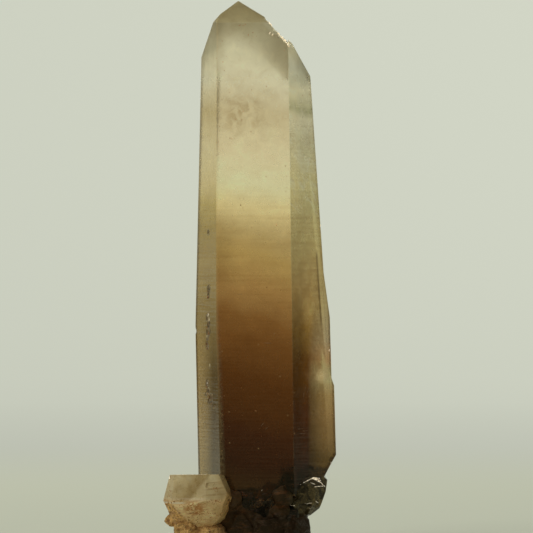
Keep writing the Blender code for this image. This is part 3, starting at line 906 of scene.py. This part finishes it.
    # Worn edges and breaks scatter the light, so they look paler than the clear glass beside them
    worn = finish.step("Gamma", {"Color": colour, "Gamma": 0.5})
    frost = finish.noise(place, 1.6, 4.0, 0.7)
    worn = finish.mix(finish.spread(frost, 0.46, 0.6), worn, (0.98, 0.90, 0.70))
    on_left = finish.spread(left_depth, -2.2, -1.2)
    stained = finish.times(on_left, finish.spread(finish.noise(place, 1.1, 4.0, 0.7), 0.36, 0.50), 0.92)
    worn = finish.mix(stained, worn, (0.055, 0.024, 0.008))
    worn = finish.mix(finish.spread(high, 13.5, 11.0), worn, (0.012, 0.006, 0.002))
    tip_break = finish.times(broken, finish.spread(high, 85.0, 88.0))
    colour = finish.mix(broken, colour, worn)
    colour = finish.mix(finish.times(tip_break, 0.8), colour, (1.0, 0.98, 0.88))
    finish.feed(finish.shader.inputs["Base Color"], colour)
    dull = finish.spread(finish.noise(place, 0.7, 4.0, 0.6), 0.35, 0.7, 0.20, 0.30)
    dull = finish.math("ADD", dull, finish.spread(high, 82.0, 89.0, 0.0, 0.26))
    ahead = finish.math("MAXIMUM", front, finish.math("MAXIMUM", left, right))
    dull = finish.math("ADD", dull, finish.times(finish.spread(high, 72.0, 84.0, 0.0, 0.3), finish.math("SUBTRACT", 1.0, ahead)))
    smooth = finish.times(finish.math("ADD", finish.times(left, 0.65), finish.times(right, 0.3)), finish.spread(high, 58.0, 42.0))
    dull = finish.times(dull, finish.math("SUBTRACT", 1.0, smooth))
    dull = finish.math("ADD", dull, finish.times(broken, 0.25))
    finish.feed(finish.shader.inputs["Roughness"], dull)

    # Growth lines across the side faces and fine ripples on the breaks
    lines = finish.noise(finish.place(stretch=(0.10, 0.10, 2.4)), 1.0, 4.0, 0.55, 0.1)
    ripples = finish.noise(finish.place((0.0, 48.0, 0.0), (2.2, 2.2, 0.4)), 1.0, 3.0, 0.5)
    relief = finish.math("ADD", finish.times(lines, finish.spread(high, 90.0, 82.0)), finish.times(tip_break, ripples, 4.0))
    relief = finish.math("ADD", relief, finish.times(veils, wisps))
    finish.bump(relief, 0.022)
    finish.plain(IOR=1.544, Transmission_Weight=1.0, Specular_Tint=(0.62, 0.52, 0.34, 1.0))
    volume = finish.tree.nodes.new("ShaderNodeVolumeAbsorption")
    volume.inputs["Color"].default_value = (1.0, 0.85, 0.60, 1.0)
    volume.inputs["Density"].default_value = 10.0
    finish.tree.links.new(volume.outputs[0], finish.tree.nodes["Material Output"].inputs["Volume"])
    return finish.material


# The side crystal's soft diagonal, where a painted shade ends, its low rusty edge, its ridge with a painted
# highlight and the crowd of rust pits below it
DIAGONAL, LOW_EDGE, RIDGE = 15.12, 6.80, 8.25
RUST_CROWD, RUST_CROWD_SIZE = (-11.2, 7.3), (2.6, 1.9)


def milky_quartz():
    """Milky beige quartz, striped on its upright face, with rust in its pits and along its low edges."""
    finish = Finish("milky_quartz")
    place = finish.place()
    across, deep, high = finish.parts(place)
    milk = finish.noise(place, 0.33, 5.0, 0.6, 0.9)
    colour = finish.mix(finish.spread(milk, 0.34, 0.66), (0.70, 0.52, 0.26), (0.94, 0.75, 0.43))
    clouds = finish.noise(finish.place((20.0, 30.0, 0.0)), 1.1, 5.0, 0.65, 0.6)
    colour = finish.mix(finish.spread(clouds, 0.50, 0.70, 0.0, 0.4), colour, (0.98, 0.86, 0.60))

    # The smooth upper left face darkens inward in painted shade to a soft diagonal, beyond which it is striped;
    # painted shade also darkens its right and its low part
    beyond = finish.math("ADD", finish.times(across, 0.773), finish.times(high, -0.633))
    beyond = finish.math("ADD", beyond, DIAGONAL)
    upper = finish.spread(high, 8.2, 8.7)
    inward = finish.times(upper, finish.spread(beyond, -4.5, -0.4), finish.spread(beyond, 0.5, -0.1))
    colour = finish.mix(inward, colour, (0.66, 0.59, 0.45), "MULTIPLY")
    painted_shade = finish.math("MAXIMUM", finish.spread(across, -8.4, -5.8), finish.spread(high, 5.6, 3.6))
    colour = finish.mix(finish.times(painted_shade, 0.8), colour, (0.70, 0.60, 0.44), "MULTIPLY")
    stripes = finish.noise(finish.place((0.0, 4.0, 0.0), (0.16, 0.16, 3.4)), 1.0, 3.0, 0.5, 0.1)
    upright = finish.times(finish.spread(across, -10.4, -8.2), finish.spread(across, -5.4, -6.8))
    upright = finish.times(upright, finish.spread(high, 9.0, 9.8), finish.spread(high, 12.4, 11.8))
    striped = finish.times(upright, finish.spread(stripes, 0.47, 0.58))
    colour = finish.mix(finish.times(striped, 0.6), colour, (0.46, 0.26, 0.09))

    # Rust in strokes and pits on the lower face, along its low left edge and at its right corner
    low = finish.spread(high, 9.3, 8.2)
    strokes = finish.noise(finish.place((0.0, 12.0, 0.0), (0.8, 0.8, 2.6)), 1.0, 5.0, 0.7, 0.8)
    crowd = finish.patch(place, RUST_CROWD, RUST_CROWD_SIZE, 0.2)
    stains = finish.times(finish.spread(strokes, 0.45, 0.51), finish.math("ADD", finish.times(crowd, 0.9), finish.times(low, 0.28)))
    colour = finish.mix(stains, colour, (0.50, 0.22, 0.06))
    under = finish.math("ADD", finish.times(across, 0.75), finish.times(high, 0.66))
    under = finish.math("ADD", under, LOW_EDGE)
    ragged = finish.times(finish.noise(place, 0.9, 5.0, 0.7), 1.6)
    edge_rust = finish.spread(finish.math("ADD", under, ragged), 1.9, 1.0)
    corner = finish.spread(finish.math("ADD", across, ragged), -5.3, -4.6)
    corner = finish.times(corner, finish.spread(high, 11.0, 9.6))
    edge_rust = finish.math("MAXIMUM", finish.times(edge_rust, low), corner)
    rust = finish.noise(place, 1.3, 5.0, 0.7)
    rust = finish.mix(finish.spread(rust, 0.38, 0.62), (0.32, 0.13, 0.030), (0.86, 0.54, 0.20))
    colour = finish.mix(finish.times(edge_rust, 0.95), colour, rust)
    fine = finish.noise(place, 3.4, 3.0, 0.7)
    pitted = finish.times(finish.spread(fine, 0.46, 0.34), finish.math("MAXIMUM", low, 0.25), 0.75)
    colour = finish.mix(pitted, colour, (0.66, 0.42, 0.17))
    specks = finish.math("MAXIMUM", finish.dots(place, 0.8, 0.13, 0.4), finish.dots(place, 1.5, 0.24, 0.3, 4.0))
    worn = finish.math("MAXIMUM", finish.times(crowd, 0.8), finish.math("MAXIMUM", finish.times(low, 0.35), 0.12))
    colour = finish.mix(finish.times(specks, worn), colour, (0.40, 0.17, 0.045))
    colour = finish.mix(low, colour, (1.28, 1.20, 1.05), "MULTIPLY")
    # Painted highlight: a pale line along the ridge at the left
    ridge_painted_highlight = finish.spread(finish.math("ABSOLUTE", finish.math("SUBTRACT", high, RIDGE)), 0.22, 0.05)
    ridge_painted_highlight = finish.times(ridge_painted_highlight, finish.spread(across, -12.6, -13.4))
    colour = finish.mix(finish.times(ridge_painted_highlight, 0.6), colour, (1.0, 0.92, 0.72))
    finish.feed(finish.shader.inputs["Base Color"], colour)
    finish.feed(finish.shader.inputs["Roughness"], finish.spread(clouds, 0.3, 0.7, 0.24, 0.45))
    relief = finish.math("ADD", finish.times(strokes, low), finish.times(stripes, upright))
    relief = finish.math("ADD", relief, finish.times(fine, low, 1.5))
    finish.bump(finish.math("ADD", relief, finish.times(clouds, 0.4)), 0.14)
    finish.plain(IOR=1.544, Transmission_Weight=0.2)
    return finish.material


def glassy_quartz():
    """Greenish grey glassy quartz of the broken lump."""
    finish = Finish("glassy_quartz")
    place = finish.place()
    flow = finish.noise(place, 0.65, 5.0, 0.65, 1.2)
    colour = finish.mix(finish.spread(flow, 0.44, 0.60), (0.040, 0.025, 0.010), (0.40, 0.30, 0.13))
    upright = finish.noise(finish.place(stretch=(1.5, 1.5, 0.22)), 1.0, 3.0, 0.5)
    colour = finish.mix(finish.spread(upright, 0.42, 0.6, 0.0, 0.6), colour, (0.22, 0.165, 0.075))
    rust = finish.spread(finish.noise(place, 1.1, 5.0, 0.7, 0.6), 0.58, 0.7)
    colour = finish.mix(finish.times(rust, 0.5), colour, (0.10, 0.05, 0.02))
    finish.feed(finish.shader.inputs["Base Color"], colour)
    finish.feed(finish.shader.inputs["Roughness"], finish.spread(flow, 0.3, 0.7, 0.06, 0.22))
    finish.bump(finish.noise(place, 2.2, 4.0, 0.6, 0.8), 0.06)
    finish.plain(IOR=1.544, Transmission_Weight=0.75, Specular_Tint=(0.72, 0.62, 0.40, 1.0))
    return finish.material


def root_quartz():
    """Almost black broken quartz, with rusty streaks in its cracks, small painted glints, and painted light and
    shadow on its low front.
    """
    finish = Finish("root_quartz")
    place = finish.place()
    across, deep, high = finish.parts(place)
    flow = finish.noise(place, 0.5, 4.0, 0.6, 0.5)
    colour = finish.mix(finish.spread(flow, 0.35, 0.65), (0.018, 0.0085, 0.003), (0.045, 0.022, 0.008))
    streaks = finish.noise(finish.place((0.0, 4.0, 0.0), (0.28, 0.28, 1.6)), 1.0, 5.0, 0.65, 0.5)
    rusty = finish.times(finish.spread(streaks, 0.52, 0.66), finish.spread(across, 10.0, 2.0, 0.15, 1.0))
    colour = finish.mix(finish.times(rusty, 0.75), colour, (0.12, 0.042, 0.012))
    leftmost = finish.times(finish.spread(across, -7.5, -11.0), finish.spread(finish.noise(place, 0.8, 5.0, 0.7), 0.44, 0.56))
    colour = finish.mix(finish.times(leftmost, 0.8), colour, (0.26, 0.125, 0.040))
    # Painted glints: small paler dots in the colour
    flakes = finish.dots(place, 1.3, 0.2, 0.12)
    colour = finish.mix(finish.times(flakes, 0.8), colour, (0.16, 0.12, 0.07))
    # Painted light: lighter towards the left and above the lowest part
    painted_lighter = finish.times(finish.spread(across, 0.2, -2.2), finish.spread(high, 5.8, 7.6), 0.55)
    colour = finish.mix(painted_lighter, colour, (0.095, 0.050, 0.020))
    # Painted shadow: darker at the low right of the foot
    painted_shade = finish.times(finish.spread(across, -0.5, 1.6), finish.spread(high, 6.8, 5.2), 0.65)
    colour = finish.mix(painted_shade, colour, (0.007, 0.004, 0.002))
    inside = finish.spread(finish.under(place, high, SIDES[0]), -1.5, -2.5)
    film = finish.times(inside, finish.spread(high, 6.8, 8.4), finish.spread(deep, -2.0, -4.0))
    colour = finish.mix(film, colour, finish.mix(finish.spread(streaks, 0.4, 0.6), (0.42, 0.24, 0.10), (0.60, 0.28, 0.09)))
    glassy = finish.times(finish.spread(across, 5.0, 6.2), finish.spread(high, 5.0, 6.6), 0.8)
    colour = finish.mix(glassy, colour, finish.mix(finish.spread(flow, 0.4, 0.6), (0.030, 0.022, 0.009), (0.085, 0.066, 0.030)))
    finish.feed(finish.shader.inputs["Base Color"], colour)
    finish.feed(finish.shader.inputs["Roughness"], finish.spread(flow, 0.35, 0.65, 0.3, 0.6))
    finish.bump(finish.noise(place, 2.6, 5.0, 0.65, 0.6), 0.12)
    finish.plain(IOR=1.544, Specular_IOR_Level=0.35, Specular_Tint=(0.75, 0.58, 0.36, 1.0))
    return finish.material


def rusty_crust():
    """Crumbly rust and ochre that the small crystal sits in."""
    finish = Finish("rusty_crust")
    place = finish.place()
    across, deep, high = finish.parts(place)
    patches = finish.noise(place, 0.7, 5.0, 0.65, 0.6)
    colour = finish.mix(finish.spread(patches, 0.36, 0.64), (0.36, 0.17, 0.05), (0.84, 0.53, 0.20))
    colour = finish.mix(finish.spread(finish.noise(place, 2.3, 4.0, 0.7), 0.5, 0.68, 0.0, 0.8), colour, (0.10, 0.045, 0.018))
    colour = finish.mix(finish.dots(place, 0.8, 0.16, 0.3, 3.0), colour, (0.70, 0.52, 0.30))
    ragged = finish.times(patches, 3.0)
    inner = finish.spread(finish.math("ADD", deep, ragged), -2.6, -0.6, 0.0, 0.85)
    inner = finish.math("MAXIMUM", inner, finish.spread(across, -9.0, -4.5, 0.0, 0.85))
    colour = finish.mix(inner, colour, (0.07, 0.032, 0.013))
    finish.feed(finish.shader.inputs["Base Color"], colour)
    finish.feed(finish.shader.inputs["Roughness"], finish.spread(patches, 0.3, 0.7, 0.65, 0.9))
    finish.bump(finish.noise(place, 3.0, 5.0, 0.7), 0.15)
    finish.plain(Specular_IOR_Level=0.3)
    return finish.material


def rust_colour(name, dark, pale, clear=0.0):
    """Rust of the grains, from dark to pale, with a share that lets light through."""
    finish = Finish(name)
    shade = finish.noise(finish.place(), 1.5, 2.0)
    finish.feed(finish.shader.inputs["Base Color"], finish.mix(finish.spread(shade, 0.35, 0.65), dark, pale))
    finish.plain(Roughness=0.6, Transmission_Weight=clear)
    return finish.material


def frosted_flake(name, dark, pale, glow=0.0):
    """Frosted flake of a fresh break; its colour also glows by a strength, a painted glow for the light that it
    catches from behind.
    """
    finish = Finish(name)
    shade = finish.noise(finish.place(), 3.0, 2.0)
    colour = finish.mix(finish.spread(shade, 0.35, 0.65), dark, pale)
    finish.feed(finish.shader.inputs["Base Color"], colour)
    finish.feed(finish.shader.inputs["Emission Color"], colour)
    finish.plain(Roughness=0.45, Transmission_Weight=0.4, Emission_Strength=glow)
    return finish.material


def marked(mesh):
    """Marks each face as front, left or right and as broken, for the colours down the sides."""
    zone = mesh.faces.layers.float_vector.new("zone")
    broken = mesh.faces.layers.float.new("broken")
    sides = [facing(turn) for turn in (FRONT_TURN, LEFT_TURN, RIGHT_TURN)]
    grown = [normal for _, normal in crystal_planes()]
    grown += [facing(44.0), facing(41.0), facing(RIGHT_BACK_TURN, 2.1), facing(RIGHT_BACK_TURN, 2.0)]
    fresh = tip_face(*BROKEN_STRIP)[1]
    for face in mesh.faces:
        face[zone] = Vector(float(face.normal.dot(side) > NEARLY_FACING) for side in sides)
        if max(face.normal.dot(normal) for normal in grown) < SAME_FACING:
            long = max(edge.calc_length() for edge in face.edges) > LONG_EDGE
            face[broken] = WORN_SHARE if long and face.normal.dot(fresh) < SAME_FACING else 1.0
    return mesh


tall, lump = tall_crystal(), broken_glass()
grains, nicks, scratches = rust_grains(tall), nicks_painted_glow(tall), hair_scratches(tall)
# Dark flakes that paint shadow into the left face's pits
pit_shadow_flakes = pit_painted_shadows(tall)
rim, glints, front_streaks = broken_rim_painted_glow(tall), lump_painted_glints(lump), foot_streaks(tall)
piece(marked(tall), "tall_crystal", smoky_quartz())
side = milky_crystal()
crumbs, red_grains = crust_crumbs(side), side_grains(side)
piece(side, "side_crystal", milky_quartz())
piece(lump, "glassy_lump", glassy_quartz())
root = weathered(lumps(ROOT_LUMPS, ROOT_SEED, ROCK_NET), 1.9, 0.4, 3.0)
streaks = both_together(foot_streaks(root), front_streaks)
piece(root, "broken_root", root_quartz())
piece(streaks, "foot_streaks", rust_colour("red_streak", (0.022, 0.008, 0.0025), (0.075, 0.028, 0.009)))
rust = rusty_crust()
piece(weathered(lumps(CRUST_LUMPS, ROOT_SEED + 7, ROCK_NET), 0.9, 0.3, 9.0, 0.5), "rusty_crust", rust)
piece(crumbs, "crust_crumbs", rust)
piece(grains, "rust_grains", rust_colour("clear_rust", (0.42, 0.15, 0.045), (0.80, 0.38, 0.13), 0.6))
piece(red_grains, "side_grains", rust_colour("red_rust", (0.34, 0.12, 0.030), (0.62, 0.30, 0.09)))
piece(scratches, "hair_scratches", frosted_flake("dull_flake", (0.14, 0.09, 0.045), (0.30, 0.21, 0.12)))
# Painted shadow in the left face's pits
piece(pit_shadow_flakes, "pit_painted_shadows", rust_colour("pit_painted_shadow", (0.012, 0.007, 0.003), (0.05, 0.028, 0.012)))
# Painted glow: frosted flakes whose colour glows as light caught from behind
frost_painted_glow = frosted_flake("flake_painted_glow", (0.72, 0.60, 0.42), (0.98, 0.93, 0.80), 0.45)
piece(nicks, "nicks_painted_glow", frost_painted_glow)
piece(rim, "broken_rim_painted_glow", frost_painted_glow)
piece(glints, "lump_painted_glints", frost_painted_glow)


# The paper sweep: where it is flat, where it stands, and how bright it glows in each part
SWEEP_FLOOR, SWEEP_WALL, SWEEP_TOP = 0.9, 1.9, 2.4
SWEEP_STEPS, SWEEP_TURNS = 14, 96
PAPER_COLOUR = (0.96, 1.0, 0.84)
PAPER_BEHIND, PAPER_NEAR, PAPER_ASIDE, PAPER_UNLIT = 0.65, 0.445, 0.22, 0.03
LIT_SHARE = 0.54
LEFT_CARD_COLOUR, RIGHT_CARD_COLOUR = (0.34, 0.22, 0.04), (0.25, 0.17, 0.03)


def paper():
    """Pale paper that glows softly behind the crystal and is dim beside and in front of it."""
    finish = Finish("pale_paper")
    at = finish.step("TexCoord", {}, "Object")
    across, deep, high = finish.parts(at)
    bearing = finish.times(finish.math("ARCTAN2", across, deep), 180.0 / math.pi)
    away = finish.step("VectorMath", {0: at}, "Value", operation="LENGTH")
    level = finish.spread(away, -0.3, 1.7, PAPER_NEAR, PAPER_BEHIND)
    level = finish.times(level, finish.spread(across, -0.3, 0.3, 0.965, 1.04))
    aside = finish.times(finish.spread(finish.math("ABSOLUTE", bearing), 50.0, 95.0), finish.spread(away, 0.25, 1.2))
    unlit = finish.times(
        finish.spread(bearing, -177.0, -171.0),
        finish.spread(bearing, -138.0, -150.0),
        finish.spread(high, 0.9, 0.6),
        finish.spread(away, 0.5, 0.8),
    )
    for share, dimmed in ((aside, PAPER_ASIDE), (unlit, PAPER_UNLIT)):
        kept = finish.times(level, finish.math("SUBTRACT", 1.0, share))
        level = finish.math("ADD", kept, finish.times(share, dimmed))
    on_floor = finish.spread(high, 0.07, 0.02)
    low_down = finish.spread(high, 0.15, 0.08)
    left_card = finish.times(finish.spread(bearing, -54.0, -49.0), finish.spread(bearing, -34.0, -39.0), on_floor)
    right_card = finish.times(finish.spread(bearing, 66.0, 71.0), finish.spread(bearing, 85.0, 80.0), low_down)
    apart = finish.spread(away, 0.42, 0.62)
    near = finish.spread(away, 0.5, 0.2)
    level = finish.times(level, finish.math("SUBTRACT", 1.0, finish.times(near, LIT_SHARE)))
    colour = finish.mix(near, (0.02, 0.02, 0.02), (0.29, 0.30, 0.24))
    finish.feed(finish.shader.inputs["Base Color"], colour)
    finish.feed(finish.shader.inputs["Emission Strength"], level)
    light = finish.mix(finish.times(left_card, apart), PAPER_COLOUR, LEFT_CARD_COLOUR)
    light = finish.mix(finish.times(right_card, apart), light, RIGHT_CARD_COLOUR)
    finish.feed(finish.shader.inputs["Emission Color"], light)
    finish.plain(Roughness=1.0, Specular_IOR_Level=0.0)
    return finish.material


def sweep():
    """Round paper sweep: a flat floor that curves up into a wall on every side."""
    mesh = bmesh.new()
    bend = SWEEP_WALL - SWEEP_FLOOR
    profile = [(0.0, 0.0), (SWEEP_FLOOR / 3, 0.0), (SWEEP_FLOOR, 0.0)]
    for step in range(1, SWEEP_STEPS + 1):
        turn = math.radians(90.0 * step / SWEEP_STEPS)
        profile.append((SWEEP_FLOOR + bend * math.sin(turn), bend * (1.0 - math.cos(turn))))
    profile.append((SWEEP_WALL, SWEEP_TOP))
    line = [mesh.verts.new((reach, 0.0, height)) for reach, height in profile]
    edges = [mesh.edges.new(pair) for pair in zip(line, line[1:])]
    bmesh.ops.spin(mesh, geom=line + edges, cent=(0.0, 0.0, 0.0), axis=(0.0, 0.0, 1.0), angle=math.tau,
                   steps=SWEEP_TURNS, use_merge=True)
    bmesh.ops.remove_doubles(mesh, verts=mesh.verts, dist=0.00001)
    bmesh.ops.recalc_face_normals(mesh, faces=mesh.faces)
    for face in mesh.faces:
        face.smooth = True
    data = bpy.data.meshes.new("sweep")
    mesh.to_mesh(data)
    mesh.free()
    data.materials.append(paper())
    thing = bpy.data.objects.new("sweep", data)
    bpy.context.scene.collection.objects.link(thing)


def softbox(name, place, size, power):
    """Square soft light that faces the crystal's middle and isn't seen through it."""
    data = bpy.data.lights.new(name, "AREA")
    data.shape = "SQUARE"
    data.size = size
    data.energy = power
    data.color = (1.0, 0.98, 0.92)
    lamp = bpy.data.objects.new(name, data)
    bpy.context.scene.collection.objects.link(lamp)
    lamp.location = place
    middle = Vector((0.0, 0.0, 0.05))
    lamp.rotation_euler = (middle - lamp.location).to_track_quat("-Z", "Y").to_euler()
    lamp.visible_transmission = False
    lamp.visible_camera = False


sweep()
softbox("top_light", Vector((-0.15, 0.55, 0.95)), 0.26, 6.0)
softbox("fill_light", Vector((-0.7, -0.7, 0.9)), 0.5, 4.0)
world = bpy.data.worlds.new("studio")
bpy.context.scene.world = world
world.use_nodes = True
world.node_tree.nodes["Background"].inputs["Color"].default_value = (0.96, 1.0, 0.86, 1)
world.node_tree.nodes["Background"].inputs["Strength"].default_value = 0.3

camera_data = bpy.data.cameras.new("camera")
camera_data.sensor_width = SENSOR
camera_data.lens = SENSOR * CAMERA_DISTANCE / VIEW_WIDTH
camera_data.clip_start = 0.05
camera_data.clip_end = 20.0
camera = bpy.data.objects.new("camera", camera_data)
bpy.context.scene.collection.objects.link(camera)
camera.location = AXIS + (VIEW_CENTRE - Vector((0.0, CAMERA_DISTANCE, 0.0))) * MM
camera.rotation_euler = (math.radians(90), 0, 0)
bpy.context.scene.camera = camera
bpy.context.scene.view_settings.view_transform = "Standard"
